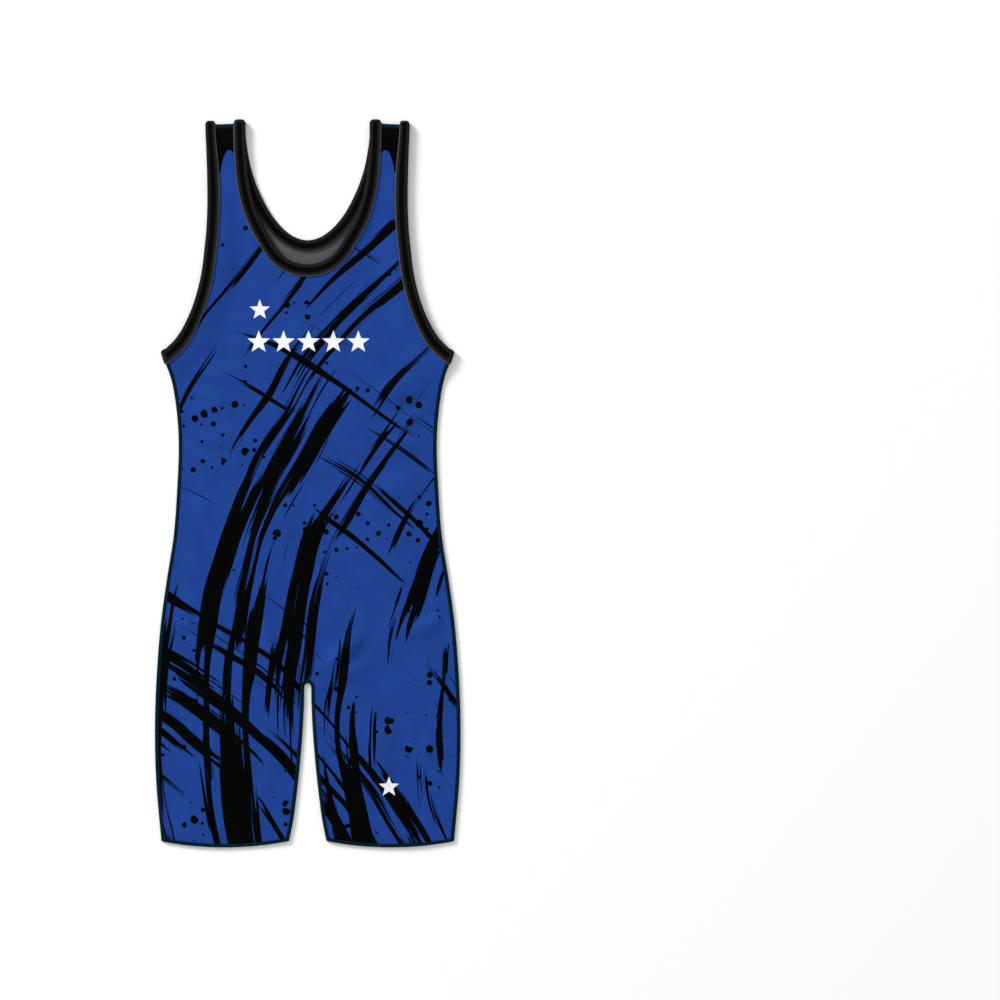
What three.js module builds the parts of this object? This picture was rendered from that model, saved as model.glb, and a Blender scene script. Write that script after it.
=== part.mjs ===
// A sleeveless one-piece wrestling suit, laid flat on its back with the front up.
// Millimetres. +X is to the right of the cloth as it lies, +Y runs up to the neck, +Z is up.
// The origin is under the middle of the garment, on the surface that it lies on.
//
// Two panels lie on each other. Along a seam both roll over to meet at half their height.
// Along the neck and the armholes a folded strip encloses the edges of both panels.

import * as THREE from 'three';

// Cloth
const wall = 1.0;
const seamGap = 0.3;
const legOffset = wall + seamGap;
const panelEdgeInset = wall + seamGap;

// The folded strip: the width that shows, and how much its folded edge is rounded
const bindingWidth = 14.4;
const foldCorner = 0.8;

// Heights of the middle of each panel's wall above the surface
const backOnFloor = wall / 2;
const frontOnBack = 2.5;
const backInBinding = legOffset + wall / 2;
const frontInBinding = backInBinding + 3 * legOffset;
const frontNeckBottom = 3.9;

// How far from a bound edge each panel keeps its height, and where it has come down
const boundShelf = 16;
const backSlopeEnd = 34;
const frontSlopeEnd = 46;
const shoulderSlopeEnd = 60;
const neckDropStart = 18;
const neckDropEnd = 38;

// A very soft swell of the front over the body, none at the edges
const swellHeight = 0.5;
const swellLength = 210;
const swellWidth = 150;
const swellFadeWidth = 45;

// Reach of the garment, and of the fold at the shoulder
const halfLength = 418;
const foldRadius = (frontInBinding - backInBinding) / 2;
const foldMiddle = (frontInBinding + backInBinding) / 2;
const shoulderAxisY = halfLength - foldRadius - legOffset - wall / 2;
const strapInnerX = 71.3;
const strapOuterX = 117.3;

// Crotch slot and hem
const crotchRadius = 4;
const crotchTopY = -230;
const hemCornerY = -411.4;

// Mesh: how far apart points lie in the middle, along seams and hems, and along bound edges
const latticeStep = 22;
const edgeStep = 13;
const boundStep = 10;
const measuringStep = 4;
const shoulderColumns = 4;
const crotchSteps = 6;
const foldSteps = 6;
const rollTurns = [Math.PI / 2, Math.PI / 4, 0];

// Free edges and seams of the right half, from the top down. Each row is a section of the outline.
const frontNeckRows = [
  { x: strapInnerX, y: shoulderAxisY },
  { x: 71.2, y: 394 },
  { x: 69.6, y: 371 },
  { x: 67.2, y: 348 },
  { x: 62.4, y: 325 },
  { x: 55.8, y: 306 },
  { x: 46.5, y: 288 },
  { x: 31.2, y: 264.5 },
  { x: 16.6, y: 254.6 },
  { x: 0, y: 251.4 },
];
const backNeckRows = [
  { x: strapInnerX, y: shoulderAxisY },
  { x: 71.2, y: 400 },
  { x: 69.2, y: 383 },
  { x: 64.6, y: 360 },
  { x: 56.6, y: 337 },
  { x: 45.1, y: 314 },
  { x: 37.2, y: 302.5 },
  { x: 26.6, y: 291 },
  { x: 13.6, y: 282.4 },
  { x: 0, y: 279.2 },
];
const sideRows = [
  { x: 168.2, y: 152.6 },
  { x: 163.7, y: 138.2 },
  { x: 160.4, y: 130.6 },
  { x: 155.2, y: 112.8 },
  { x: 150.1, y: 78.2 },
  { x: 148.2, y: 43.7 },
  { x: 150.1, y: -8 },
  { x: 154.0, y: -60 },
  { x: 162.0, y: -111.6 },
  { x: 169.0, y: -163.3 },
  { x: 174.2, y: -232.3 },
  { x: 175.6, y: -285 },
  { x: 174.2, y: -341.6 },
  { x: 168.2, y: hemCornerY },
];
const inseamRows = [
  { x: 21.6, y: hemCornerY },
  { x: 16.8, y: -387.6 },
  { x: 12.2, y: -353 },
  { x: 8.6, y: -318.6 },
  { x: 5.9, y: -285 },
  { x: 4.3, y: -252 },
  { x: crotchRadius, y: crotchTopY - crotchRadius },
];

// The side seam starts at the underarm. The armhole folds round its first stretch, which is straight,
// and just below the fold the cloth draws in.
const underarmLead = 2.6;
const underarm = underarmFold();
const armholeRows = [
  { x: strapOuterX, y: shoulderAxisY },
  { x: 117.0, y: 400 },
  { x: 116.2, y: 383 },
  { x: 115.2, y: 350 },
  { x: 115.0, y: 320 },
  { x: 116.2, y: 291 },
  { x: 118.5, y: 268 },
  { x: 121.3, y: 245 },
  { x: 126.2, y: 222 },
  { x: 133.6, y: 199 },
  { x: 144.4, y: 176.5 },
  { x: 152.6, y: 164.6 },
  { x: 159.0, y: 158.2 },
  underarm.axis.clone().addScaledVector(underarm.out, -underarmLead),
  underarm.axis,
];

function underarmFold() {
  const top = new THREE.Vector2(sideRows[0].x, sideRows[0].y);
  const next = new THREE.Vector2(sideRows[1].x, sideRows[1].y);
  const down = next.sub(top).normalize();
  const out = new THREE.Vector2(-down.y, down.x);
  const axis = top.clone().addScaledVector(out, -foldRadius - wall / 2);
  return { down, out, axis };
}

// A smooth line through the rows, cut into equal steps. One that ends on the middle ends level there,
// because it is half of a line that goes on to the other side.
function smoothLine(rows, step) {
  const places = rows.map((row) => new THREE.Vector3(row.x, row.y, 0));
  const halves = places.at(-1).x === 0 ? 2 : 1;
  if (halves === 2) {
    const otherSide = places.slice(0, -1).reverse();
    places.push(...otherSide.map((place) => new THREE.Vector3(-place.x, place.y, 0)));
  }
  const curve = new THREE.CatmullRomCurve3(places, false, 'centripetal');
  const count = Math.round(curve.getLength() / halves / step);
  const spaced = curve.getSpacedPoints(count * halves).slice(0, count + 1);
  return spaced.map((place) => new THREE.Vector2(place.x, place.y));
}

// Moves a line sideways. A positive distance goes to the right of the direction of travel.
function movedLine(points, distanceAt) {
  return points.map((point, index) => {
    const before = points[Math.max(0, index - 1)];
    const after = points[Math.min(points.length - 1, index + 1)];
    const along = after.clone().sub(before).normalize();
    const right = new THREE.Vector2(along.y, -along.x);
    return point.clone().addScaledVector(right, distanceAt(point, right));
  });
}

function distanceToLine(x, y, points) {
  let nearest = Infinity;
  for (let index = 1; index < points.length; index += 1) {
    const from = points[index - 1];
    const to = points[index];
    const runX = to.x - from.x;
    const runY = to.y - from.y;
    const share = ((x - from.x) * runX + (y - from.y) * runY) / (runX * runX + runY * runY);
    const held = Math.min(1, Math.max(0, share));
    nearest = Math.min(nearest, Math.hypot(x - from.x - held * runX, y - from.y - held * runY));
  }
  return nearest;
}

// 1 up to the first distance, 0 past the second, smooth between
function fade(distance, from, to) {
  return 1 - THREE.MathUtils.smoothstep(distance, from, to);
}

const frontNeckEdge = smoothLine(frontNeckRows, measuringStep);
const backNeckEdge = smoothLine(backNeckRows, measuringStep);
const armholeEdge = smoothLine(armholeRows, measuringStep);
const sideLine = smoothLine(sideRows, measuringStep);

// Height of the middle of the back panel's wall
function backHeight(x, y) {
  const side = Math.abs(x);
  const neck = fade(distanceToLine(side, y, backNeckEdge), boundShelf, backSlopeEnd);
  const arm = fade(distanceToLine(side, y, armholeEdge), boundShelf, backSlopeEnd);
  const strap = fade(shoulderAxisY - y, boundShelf, shoulderSlopeEnd);
  const lifted = 1 - (1 - neck) * (1 - arm) * (1 - strap);
  return backOnFloor + (backInBinding - backOnFloor) * lifted;
}

// Height of the middle of the front panel's wall. It lies lower where it has left the back's binding.
function frontHeight(x, y) {
  const side = Math.abs(x);
  const neckDistance = distanceToLine(side, y, frontNeckEdge);
  const overBackBinding = fade(distanceToLine(side, y, backNeckEdge), neckDropStart, neckDropEnd);
  const neckTop = frontNeckBottom + (frontInBinding - frontNeckBottom) * overBackBinding;
  const rest = frontOnBack + swell(side, y);
  const neckRise = (neckTop - rest) / (frontInBinding - rest);
  const neck = neckRise * fade(neckDistance, boundShelf, frontSlopeEnd);
  const arm = fade(distanceToLine(side, y, armholeEdge), boundShelf, frontSlopeEnd);
  const strap = fade(shoulderAxisY - y, boundShelf, shoulderSlopeEnd);
  const lifted = 1 - (1 - neck) * (1 - arm) * (1 - strap);
  return rest + (frontInBinding - rest) * lifted;
}

function swell(x, y) {
  const inside = 1 - fade(distanceToLine(x, y, sideLine), 0, swellFadeWidth);
  const wave = 1 + Math.cos((2 * Math.PI * y) / swellLength) * Math.cos((2 * Math.PI * x) / swellWidth);
  return (swellHeight / 2) * wave * inside;
}

// Half the distance between the two panels, which is the radius that a seam rolls over with
function rollRadius(x, y) {
  return (frontHeight(x, y) - backHeight(x, y)) / 2;
}

// The line where a panel starts to roll over, so that its roll reaches the seam's own line
function rollLine(points) {
  const reach = (point, right) => {
    const guess = point.clone().addScaledVector(right, foldRadius);
    return rollRadius(guess.x, guess.y) + wall / 2;
  };
  return movedLine(points, reach);
}

// Outline of the right half of a panel where it lies flat, each stretch with the kind of its edge
function halfOutline(neckRows) {
  const neck = movedLine(smoothLine(neckRows, boundStep), () => -panelEdgeInset).reverse();
  neck[0].x = 0;
  const armhole = movedLine(smoothLine(armholeRows, boundStep), () => panelEdgeInset);
  const neckEnd = new THREE.Vector2(strapInnerX + panelEdgeInset, shoulderAxisY);
  const armStart = new THREE.Vector2(strapOuterX - panelEdgeInset, shoulderAxisY);
  neck[neck.length - 1].copy(neckEnd);
  armhole[0].copy(armStart);
  const sideTop = underarm.axis.clone().addScaledVector(underarm.down, panelEdgeInset);
  armhole[armhole.length - 1].copy(sideTop);

  const shoulder = [];
  for (let column = 0; column <= shoulderColumns; column += 1) {
    shoulder.push(neckEnd.clone().lerp(armStart, column / shoulderColumns));
  }

  const side = rollLine(smoothLine(sideRows, edgeStep));
  side[0].copy(sideTop);
  const inseam = smoothLine(inseamRows, edgeStep);
  const crotchCentre = new THREE.Vector2(0, crotchTopY - crotchRadius);
  for (let step = 1; step <= crotchSteps; step += 1) {
    const turn = (Math.PI / 2) * (step / crotchSteps);
    const rim = new THREE.Vector2(Math.cos(turn), Math.sin(turn)).multiplyScalar(crotchRadius);
    inseam.push(rim.add(crotchCentre));
  }
  const inner = rollLine(inseam);
  inner[inner.length - 1].x = 0;

  const hem = hemLine(side[side.length - 1], inner[0]);
  return [
    { kind: 'bound', points: neck },
    { kind: 'shoulder', points: shoulder },
    { kind: 'bound', points: armhole },
    { kind: 'side', points: side },
    { kind: 'hem', points: hem },
    { kind: 'inseam', points: inner },
  ];
}

// The hem reaches lowest in the middle of the leg
function hemLine(from, to) {
  const count = Math.round(from.distanceTo(to) / edgeStep / 2) * 2;
  const drop = (from.y + to.y) / 2 + halfLength;
  const points = [];
  for (let step = 0; step <= count; step += 1) {
    const share = step / count;
    const point = from.clone().lerp(to, share);
    point.y -= drop * 4 * share * (1 - share);
    points.push(point);
  }
  return points;
}

function insideLoop(x, y, loop) {
  let inside = false;
  for (let index = 0, last = loop.length - 1; index < loop.length; last = index, index += 1) {
    const a = loop[index];
    const b = loop[last];
    if (a.y > y !== b.y > y && x < ((b.x - a.x) * (y - a.y)) / (b.y - a.y) + a.x) {
      inside = !inside;
    }
  }
  return inside;
}

// Triangles whose circles hold no other point. Each point that comes in opens the circles round it.
function delaunay(points) {
  const far = 1e5;
  const all = [...points, { x: -far, y: -far }, { x: far, y: -far }, { x: 0, y: far }];
  const first = points.length;
  let triangles = [circled(all, first, first + 1, first + 2)];
  for (let index = 0; index < first; index += 1) {
    const point = all[index];
    const open = new Map();
    const kept = [];
    for (const triangle of triangles) {
      if (Math.hypot(point.x - triangle.x, point.y - triangle.y) < triangle.radius * (1 - 1e-9)) {
        for (const [a, b] of sidesOf(triangle.corners)) {
          if (!open.delete(`${b},${a}`)) {
            open.set(`${a},${b}`, [a, b]);
          }
        }
      } else {
        kept.push(triangle);
      }
    }
    for (const [a, b] of open.values()) {
      kept.push(circled(all, a, b, index));
    }
    triangles = kept;
  }
  return triangles.map((triangle) => triangle.corners).filter((corners) => Math.max(...corners) < first);
}

function sidesOf([a, b, c]) {
  return [[a, b], [b, c], [c, a]];
}

function circled(points, a, b, c) {
  const bx = points[b].x - points[a].x;
  const by = points[b].y - points[a].y;
  const cx = points[c].x - points[a].x;
  const cy = points[c].y - points[a].y;
  const twice = 2 * (bx * cy - by * cx);
  const x = (cy * (bx * bx + by * by) - by * (cx * cx + cy * cy)) / twice;
  const y = (bx * (cx * cx + cy * cy) - cx * (bx * bx + by * by)) / twice;
  return { corners: [a, b, c], x: points[a].x + x, y: points[a].y + y, radius: Math.hypot(x, y) };
}

// The flat part of the right half: its edge, a row along each bound edge, and a lattice inside
function flatHalf(neckRows) {
  const outline = halfOutline(neckRows);
  const loop = [];
  for (const stretch of outline) {
    loop.push(...stretch.points.slice(0, -1));
  }
  const shelf = boundShelf - panelEdgeInset - wall / 2;
  const middleStart = outline.at(-1).points.at(-1);
  const middleEnd = new THREE.Vector2(0, loop[0].y - shelf);
  const middleCount = Math.round(middleStart.distanceTo(middleEnd) / latticeStep);
  for (let step = 0; step <= middleCount; step += 1) {
    loop.push(middleStart.clone().lerp(middleEnd, step / middleCount));
  }

  const inner = [];
  const closed = [...loop, loop[0]];
  const addClear = (point, clear) => {
    const free = inner.every((other) => point.distanceTo(other) > clear);
    if (free && insideLoop(point.x, point.y, loop) && distanceToLine(point.x, point.y, closed) > clear) {
      inner.push(point);
    }
  };
  for (const stretch of outline.filter((one) => one.kind === 'bound')) {
    for (const point of movedLine(stretch.points, () => shelf)) {
      addClear(point, shelf * 0.6);
    }
  }
  const rowStep = latticeStep * Math.sqrt(0.75);
  const rowCount = Math.ceil((2 * halfLength) / rowStep);
  for (let row = 0; row <= rowCount; row += 1) {
    for (let column = 0; column * latticeStep < halfLength / 2; column += 1) {
      const x = (column + (row % 2 ? 0.5 : 1)) * latticeStep;
      addClear(new THREE.Vector2(x, row * rowStep - halfLength), latticeStep * 0.5);
    }
  }

  const points = [...loop, ...inner];
  const triangles = delaunay(points).filter(([a, b, c]) => {
    const x = (points[a].x + points[b].x + points[c].x) / 3;
    const y = (points[a].y + points[b].y + points[c].y) / 3;
    return insideLoop(x, y, loop);
  });
  return { outline, points, triangles };
}

// A panel's wall: a middle surface of points with normals, and its triangles
class Surface {
  constructor() {
    this.places = [];
    this.normals = [];
    this.triangles = [];
    this.known = new Map();
  }

  add(place, normal) {
    const key = [place.x, place.y, place.z].map((value) => Math.round(value * 1e4)).join();
    if (!this.known.has(key)) {
      this.known.set(key, this.places.length);
      this.places.push(place);
      this.normals.push(normal);
    }
    return this.known.get(key);
  }

  // Adds a triangle so that it faces the side that its normals point to
  face(a, b, c) {
    if (a === b || b === c || c === a) {
      return;
    }
    const one = this.places[b].clone().sub(this.places[a]);
    const two = this.places[c].clone().sub(this.places[a]);
    const lean = this.normals[a].clone().add(this.normals[b]).add(this.normals[c]);
    this.triangles.push(one.cross(two).dot(lean) > 0 ? [a, b, c] : [a, c, b]);
  }

  // Gives the surface its thickness, and closes it along its edge
  thicken(thickness) {
    const positions = [];
    for (const side of [0.5, -0.5]) {
      this.places.forEach((place, index) => {
        const moved = place.clone().addScaledVector(this.normals[index], side * thickness);
        positions.push(moved.x, moved.y, moved.z);
      });
    }
    const below = this.places.length;
    const indices = [];
    const edges = new Map();
    for (const corners of this.triangles) {
      const [a, b, c] = corners;
      indices.push(a, b, c, below + a, below + c, below + b);
      for (const [from, to] of sidesOf(corners)) {
        if (!edges.delete(`${to},${from}`)) {
          edges.set(`${from},${to}`, [from, to]);
        }
      }
    }
    for (const [from, to] of edges.values()) {
      indices.push(from, below + from, below + to, from, below + to, to);
    }
    const geometry = new THREE.BufferGeometry();
    geometry.setAttribute('position', new THREE.Float32BufferAttribute(positions, 3));
    geometry.setIndex(indices);
    geometry.computeVertexNormals();
    return geometry;
  }
}

function heightNormal(height, x, y) {
  const reach = 0.5;
  const slopeX = (height(x + reach, y) - height(x - reach, y)) / (2 * reach);
  const slopeY = (height(x, y + reach) - height(x, y - reach)) / (2 * reach);
  return new THREE.Vector3(-slopeX, -slopeY, 1).normalize();
}

// One panel. Its upward side is +1 for the front, which rolls down at a seam, and -1 for the back.
function panelGeometry(neckRows, height, upward) {
  const surface = new Surface();
  const { outline, points, triangles } = flatHalf(neckRows);
  for (const mirror of [1, -1]) {
    const ids = points.map(({ x, y }) => {
      const normal = heightNormal(height, x * mirror, y);
      return surface.add(new THREE.Vector3(x * mirror, y, height(x, y)), normal);
    });
    for (const [a, b, c] of triangles) {
      surface.face(ids[a], ids[b], ids[c]);
    }
    for (const stretch of outline) {
      if (['shoulder', 'side', 'inseam'].includes(stretch.kind)) {
        addRoll(surface, stretch, height, upward, mirror);
      }
    }
  }
  return surface.thicken(wall);
}

// The roll at a seam is an arc that ends half a gap from the mid-height, where the other panel meets it
function addRoll(surface, { kind, points }, height, upward, mirror) {
  const outwards = movedLine(points, () => -1);
  const columns = points.map((point, index) => {
    const out = outwards[index].sub(point);
    if (kind === 'shoulder') {
      out.set(0, 1);
    }
    if (kind === 'side' && index === 0) {
      out.copy(underarm.out);
    }
    if (kind === 'inseam' && index === points.length - 1) {
      out.set(0, -1);
    }
    const radius = rollRadius(point.x, point.y);
    const middle = (frontHeight(point.x, point.y) + backHeight(point.x, point.y)) / 2;
    const rise = radius - seamGap / 2;
    return rollTurns.map((turn) => {
      const reach = radius * Math.cos(turn);
      const z = middle + upward * (seamGap / 2 + rise * Math.sin(turn));
      const place = new THREE.Vector3((point.x + out.x * reach) * mirror, point.y + out.y * reach, z);
      const tilt = upward * Math.cos(turn);
      const normal = new THREE.Vector3(out.x * mirror * tilt, out.y * tilt, Math.sin(turn)).normalize();
      if (turn === rollTurns[0]) {
        place.set(point.x * mirror, point.y, height(point.x, point.y));
      }
      return surface.add(place, normal);
    });
  });
  for (let index = 1; index < columns.length; index += 1) {
    for (let ring = 1; ring < columns[index].length; ring += 1) {
      const [a, b] = [columns[index - 1][ring - 1], columns[index][ring - 1]];
      const [c, d] = [columns[index - 1][ring], columns[index][ring]];
      surface.face(a, b, d);
      surface.face(a, d, c);
    }
  }
}

// Cross-section of a folded strip: how far into the cloth, and how far above the panel's middle
const outerFace = legOffset + wall / 2;
const innerFace = legOffset - wall / 2;
const bindingSection = [
  { into: bindingWidth, up: outerFace },
  { into: foldCorner, up: outerFace },
  { into: 0, up: outerFace - foldCorner },
  { into: 0, up: foldCorner - outerFace },
  { into: foldCorner, up: -outerFace },
  { into: bindingWidth, up: -outerFace },
  { into: bindingWidth, up: -innerFace },
  { into: wall, up: -innerFace },
  { into: wall, up: innerFace },
  { into: bindingWidth, up: innerFace },
];

// Sections of a strip along a free edge. The cloth is on the left of the line, or on the right with -1.
// The strip's outer leg is above the panel, or under it with upward -1.
function flatSections({ line, clothSide, height, upward, ends }) {
  return line.map((point, index) => {
    const before = line[Math.max(0, index - 1)];
    const after = line[Math.min(line.length - 1, index + 1)];
    const along = after.clone().sub(before).normalize();
    const into = new THREE.Vector2(-along.y, along.x).multiplyScalar(clothSide);
    if (index === 0) {
      into.copy(ends[0]);
    }
    if (index === line.length - 1) {
      into.copy(ends[1]);
    }
    return bindingSection.map((corner) => {
      const x = point.x + into.x * corner.into;
      const y = point.y + into.y * corner.into;
      const place = new THREE.Vector3(x, y, height(x, y));
      return place.addScaledVector(heightNormal(height, x, y), corner.up * upward);
    });
  });
}

// The strip goes over from the front to the back round a level line, or the other way
function foldSections({ axis, out, into, fromFront }) {
  const sections = [];
  for (let step = 1; step < foldSteps; step += 1) {
    const turn = Math.PI * (step / foldSteps);
    const rise = Math.cos(turn) * (fromFront ? 1 : -1);
    const reach = Math.sin(turn);
    sections.push(bindingSection.map((corner) => {
      const radius = foldRadius + corner.up;
      return new THREE.Vector3(
        axis.x + into.x * corner.into + out.x * reach * radius,
        axis.y + into.y * corner.into + out.y * reach * radius,
        foldMiddle + rise * radius,
      );
    }));
  }
  return sections;
}

// Joins the sections of a strip into one closed ring
function ringGeometry(sections) {
  const size = bindingSection.length;
  const positions = sections.flat().flatMap((place) => [place.x, place.y, place.z]);
  const indices = [];
  for (let ring = 0; ring < sections.length; ring += 1) {
    const next = (ring + 1) % sections.length;
    for (let corner = 0; corner < size; corner += 1) {
      const other = (corner + 1) % size;
      const [a, b] = [ring * size + corner, ring * size + other];
      const [c, d] = [next * size + corner, next * size + other];
      indices.push(a, b, d, a, d, c);
    }
  }
  if (signedVolume(positions, indices) < 0) {
    indices.reverse();
  }
  const geometry = new THREE.BufferGeometry();
  geometry.setAttribute('position', new THREE.Float32BufferAttribute(positions, 3));
  geometry.setIndex(indices);
  geometry.computeVertexNormals();
  return geometry;
}

function signedVolume(positions, indices) {
  const corner = (index) => new THREE.Vector3().fromArray(positions, 3 * index);
  let volume = 0;
  for (let at = 0; at < indices.length; at += 3) {
    volume += corner(indices[at]).dot(corner(indices[at + 1]).cross(corner(indices[at + 2]))) / 6;
  }
  return volume;
}

const up = new THREE.Vector2(0, 1);
const right = new THREE.Vector2(1, 0);
const left = new THREE.Vector2(-1, 0);

// The neck strip runs down the front from the right shoulder to the left one, and back along the back
function neckBindingGeometry() {
  const wholeLine = (rows) => {
    const half = smoothLine(rows, boundStep);
    const other = half.slice(0, -1).map((point) => new THREE.Vector2(-point.x, point.y));
    return [...half, ...other.reverse()];
  };
  const shoulder = (x) => new THREE.Vector2(x, shoulderAxisY);
  return ringGeometry([
    ...flatSections({
      line: wholeLine(frontNeckRows), clothSide: 1, height: frontHeight, upward: 1, ends: [right, left],
    }),
    ...foldSections({ axis: shoulder(-strapInnerX), out: up, into: left, fromFront: true }),
    ...flatSections({
      line: wholeLine(backNeckRows).reverse(), clothSide: -1, height: backHeight, upward: -1, ends: [left, right],
    }),
    ...foldSections({ axis: shoulder(strapInnerX), out: up, into: right, fromFront: false }),
  ]);
}

// An armhole strip runs down the front to the underarm, folds there, and comes up the back
function armholeBindingGeometry(mirror) {
  const line = smoothLine(armholeRows, boundStep);
  const { axis, out, down } = underarm;
  const shoulder = new THREE.Vector2(strapOuterX, shoulderAxisY);
  const sections = [
    ...flatSections({ line, clothSide: -1, height: frontHeight, upward: 1, ends: [left, down] }),
    ...foldSections({ axis, out, into: down, fromFront: true }),
    ...flatSections({
      line: [...line].reverse(), clothSide: 1, height: backHeight, upward: -1, ends: [down, left],
    }),
    ...foldSections({ axis: shoulder, out: up, into: left, fromFront: false }),
  ];
  sections.flat().forEach((place) => {
    place.x *= mirror;
  });
  return ringGeometry(sections);
}

const knit = new THREE.MeshStandardMaterial({ color: 0x21428f, roughness: 0.62, metalness: 0 });
const elastic = new THREE.MeshStandardMaterial({ color: 0x0a0b0c, roughness: 0.7, metalness: 0 });

const pieces = [
  { name: 'front_panel', geometry: panelGeometry(frontNeckRows, frontHeight, 1), material: knit },
  { name: 'back_panel', geometry: panelGeometry(backNeckRows, backHeight, -1), material: knit },
  { name: 'neck_binding', geometry: neckBindingGeometry(), material: elastic },
  { name: 'armhole_binding_left', geometry: armholeBindingGeometry(1), material: elastic },
  { name: 'armhole_binding_right', geometry: armholeBindingGeometry(-1), material: elastic },
];

const singlet = new THREE.Group();
singlet.name = 'wrestling_singlet';
for (const { name, geometry, material } of pieces) {
  const mesh = new THREE.Mesh(geometry, material);
  mesh.name = name;
  singlet.add(mesh);
}

export default singlet;
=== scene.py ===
# %% [markdown]
# # A wrestling singlet, laid flat
#
# A singlet is a one-piece suit of printed stretch knit. A front and a back are cut in one from
# shoulder to hem and sewn at the sides, shoulders and inseam, and folded elastic binds the neck
# and the armholes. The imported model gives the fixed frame, so every piece here goes where it says.

# %% Load the fixed frame
import math
from collections import namedtuple

import bpy
import numpy as np
from mathutils.geometry import delaunay_2d_cdt
from mathutils.kdtree import KDTree
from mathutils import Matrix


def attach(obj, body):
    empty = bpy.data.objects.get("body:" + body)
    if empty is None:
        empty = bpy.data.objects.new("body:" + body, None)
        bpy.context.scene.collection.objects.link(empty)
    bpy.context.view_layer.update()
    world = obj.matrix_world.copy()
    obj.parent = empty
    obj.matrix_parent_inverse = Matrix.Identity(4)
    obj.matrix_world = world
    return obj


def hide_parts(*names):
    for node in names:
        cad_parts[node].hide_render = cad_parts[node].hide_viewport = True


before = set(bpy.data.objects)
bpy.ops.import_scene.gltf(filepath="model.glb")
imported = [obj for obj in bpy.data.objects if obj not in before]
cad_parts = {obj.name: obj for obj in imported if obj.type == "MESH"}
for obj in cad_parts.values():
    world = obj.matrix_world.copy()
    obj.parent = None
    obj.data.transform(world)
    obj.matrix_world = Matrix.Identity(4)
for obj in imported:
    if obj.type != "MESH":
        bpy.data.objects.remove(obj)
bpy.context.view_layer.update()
bpy.ops.object.select_all(action="DESELECT")
print("nodes:", ", ".join(sorted(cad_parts)))

# %% [markdown]
# ## The pattern
#
# A pattern cutter draws half of each panel and cuts it on a fold. The same half outline is kept
# here as short tables, one row for each point that the cutter would mark, in millimetres from
# the middle of the garment. A smooth curve runs through the rows. Millimetres become metres
# only where a mesh is made.

# %% Sizes of cloth, binding and outline
MM = 0.001
cloth_thickness = 0.8
solid_wall = 1.0
seam_gap = 0.3
leg_offset = solid_wall + seam_gap
edge_inset = solid_wall + seam_gap
binding_width = 14.4

back_on_floor = 0.5
front_on_back = 2.5
back_in_binding = leg_offset + solid_wall / 2
front_in_binding = back_in_binding + 3 * leg_offset
front_neck_bottom = 3.9

half_length = 418.0
fold_radius = (front_in_binding - back_in_binding) / 2
fold_middle = (front_in_binding + back_in_binding) / 2
shoulder_axis_y = half_length - fold_radius - leg_offset - solid_wall / 2
strap_inner_x = 71.3
strap_outer_x = 117.3
armhole_strip_drop = 1.6
strap_outer_y = shoulder_axis_y - armhole_strip_drop
crotch_radius = 4.0
crotch_top_y = -230.0
hem_corner_y = -411.4
print("the shoulder rolls over at y =", round(shoulder_axis_y, 2), "mm")

# %% Rows of the half outline: x, y
front_neck_rows = [
    (strap_inner_x, shoulder_axis_y), (71.2, 394), (69.6, 371), (67.2, 348), (62.4, 325),
    (55.8, 306), (46.5, 288), (31.2, 264.5), (16.6, 254.6), (0, 251.4),
]
back_neck_rows = [
    (strap_inner_x, shoulder_axis_y), (71.2, 400), (69.2, 383), (64.6, 360), (56.6, 337),
    (45.1, 314), (37.2, 302.5), (26.6, 291), (13.6, 282.4), (0, 279.2),
]
side_rows = [
    (168.2, 152.6), (163.7, 138.2), (160.4, 130.6), (155.2, 112.8), (150.1, 78.2), (148.2, 43.7),
    (150.1, -8), (154, -60), (162, -111.6), (169, -163.3), (174.2, -232.3), (175.6, -285),
    (174.2, -341.6), (168.2, hem_corner_y),
]
inseam_rows = [
    (21.6, hem_corner_y), (16.8, -387.6), (12.2, -353), (8.6, -318.6), (5.9, -285), (4.3, -252),
    (crotch_radius, crotch_top_y - crotch_radius),
]
armhole_rows = [
    (strap_outer_x, strap_outer_y), (117, 400), (116.2, 383), (115.2, 350), (115, 320),
    (116.2, 291), (118.5, 268), (121.3, 245), (126.2, 222), (133.6, 199), (144.4, 176.5),
    (152.6, 164.6), (159, 158.2),
]

# %% The underarm, where the armhole folds round the top of the side seam
underarm_lead = 2.6
side_top_place = np.array(side_rows[0])
underarm_down = np.array(side_rows[1]) - side_top_place
underarm_down /= np.linalg.norm(underarm_down)
underarm_out = np.array([-underarm_down[1], underarm_down[0]])
underarm_axis = side_top_place - underarm_out * (fold_radius + solid_wall / 2)
armhole_rows += [tuple(underarm_axis - underarm_out * underarm_lead), tuple(underarm_axis)]
print("the underarm fold's axis is at", underarm_axis.round(1), "mm")


# %% Smooth lines through the rows
curve_points = 24


def unit(vectors):
    """The same directions, with a length of 1."""
    return vectors / np.linalg.norm(vectors, axis=-1, keepdims=True)


def distances_along(points):
    lengths = np.linalg.norm(np.diff(points, axis=0), axis=1)
    return np.concatenate([[0.0], np.cumsum(lengths)])


def sampled(points, along, places):
    """Points of a line at these distances along it."""
    return np.column_stack([np.interp(places, along, column) for column in points.T])


def spaced(points, step):
    """The same line, with its points a step apart."""
    along = distances_along(points)
    steps = max(1, round(along[-1] / step))
    return sampled(points, along, np.linspace(0.0, along[-1], steps + 1))


def between(p, q, t, start, end):
    return (p * (end - t) + q * (t - start)) / (end - start)


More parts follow.
